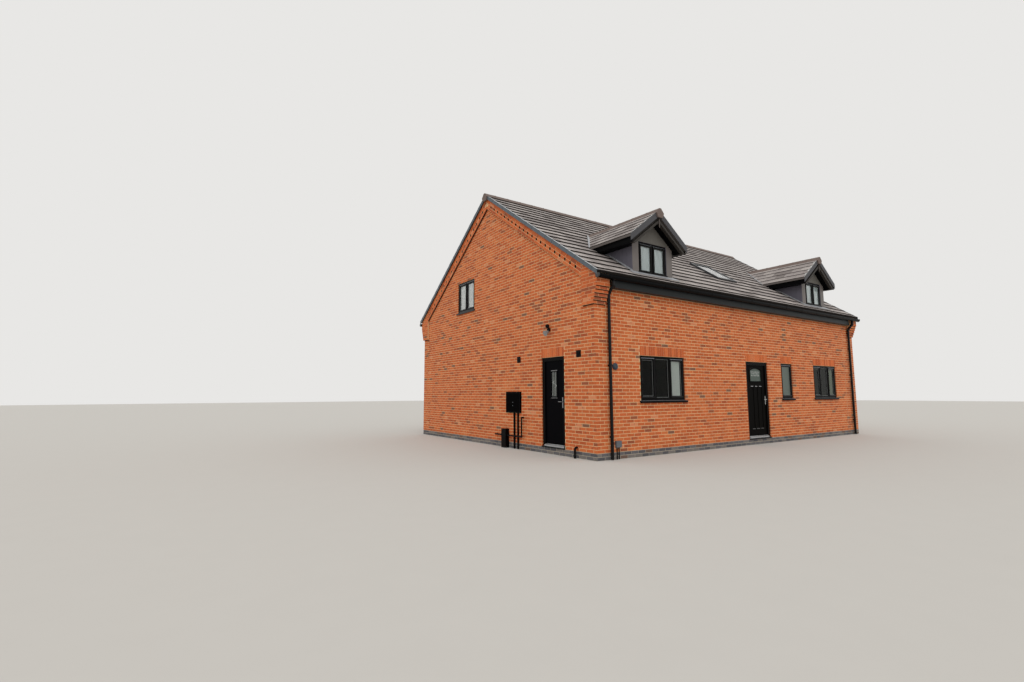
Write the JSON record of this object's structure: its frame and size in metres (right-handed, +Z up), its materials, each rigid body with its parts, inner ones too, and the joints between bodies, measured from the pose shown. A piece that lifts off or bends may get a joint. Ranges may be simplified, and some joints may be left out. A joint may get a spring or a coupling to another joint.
{
  "type": "detached house",
  "caption": "Detached brick house with a steep tiled gable roof, gabled dormers, a rooflight, corbelled eaves and hinged entrance doors, hollow behind its cut-through openings.",
  "frame": {"origin": "centre of the rectangular footprint of the walls, on the ground under the plinth", "axes": "+X along the front wall to the right, +Y from the front wall to the back wall, +Z up"},
  "size_m": [12.4398, 9.289, 7.235],
  "materials": {
    "brick": "matte",
    "blue_brick": "matte",
    "concrete": "matte",
    "timber": "matte",
    "roof_tile": "matte",
    "ridge_tile": "matte",
    "verge_plastic": "satin",
    "eaves_plastic": "satin",
    "gutter_plastic": "gloss",
    "dormer_cladding": "matte",
    "dormer_trim": "satin",
    "rooflight_metal": "satin",
    "black_frame": "satin",
    "door_skin": "satin",
    "threshold_metal": "satin",
    "handle_metal": "satin",
    "meter_plastic": "satin",
    "fitting_plastic": "satin",
    "glass": "gloss"
  },
  "bodies": {
    "house": {"plinth": "blue_brick", "ground_floor": "concrete", "first_floor": "timber", "front_wall_left": "brick", "front_wall_right": "brick", "front_wall_over_door": "brick", "left_wall_front": "brick", "left_wall_rear": "brick", "left_gable": "brick", "right_wall": "brick", "back_wall_left": "brick", "back_wall_right": "brick", "verge_brickwork_left": "brick", "verge_brickwork_right": "brick", "roof_deck_front": "timber", "roof_deck_back": "timber", "roof_tiles_front": "roof_tile", "roof_tiles_back": "roof_tile", "ridge_tiles": "ridge_tile", "dry_verges": "verge_plastic", "eaves_boards": "eaves_plastic", "gutters": "gutter_plastic", "downpipes": "gutter_plastic", "rooflight_frame": "rooflight_metal", "ground_window_frames": "black_frame", "gable_window_frames": "black_frame", "window_glass": "glass", "door_frames": "black_frame", "thresholds": "threshold_metal", "meter_box": "meter_plastic", "service_pipes": "gutter_plastic", "wall_fittings": "fitting_plastic", "dormer_1_walls": "dormer_cladding", "dormer_1_roof": "roof_tile", "dormer_1_trim": "dormer_trim", "dormer_1_eaves": "eaves_plastic", "dormer_1_window": "black_frame", "dormer_2_walls": "dormer_cladding", "dormer_2_roof": "roof_tile", "dormer_2_trim": "dormer_trim", "dormer_2_eaves": "eaves_plastic", "dormer_2_window": "black_frame"},
    "front_door": {"front_door_leaf": "door_skin", "front_door_glass": "glass", "front_door_handles": "handle_metal"},
    "side_door": {"side_door_leaf": "door_skin", "side_door_glass": "glass", "side_door_handles": "handle_metal"}
  },
  "joints": [
    {"name": "front_door_hinge", "type": "hinge", "parent": "house", "child": "front_door", "pos_m": [-0.44115, -4.2795, 1.2], "axis": [0, 0, 1], "range_deg": [0, 90]},
    {"name": "side_door_hinge", "type": "hinge", "parent": "house", "child": "side_door", "pos_m": [-5.967, -2.57877, 1.2], "axis": [0, 0, 1], "range_deg": [0, 90]}
  ]
}
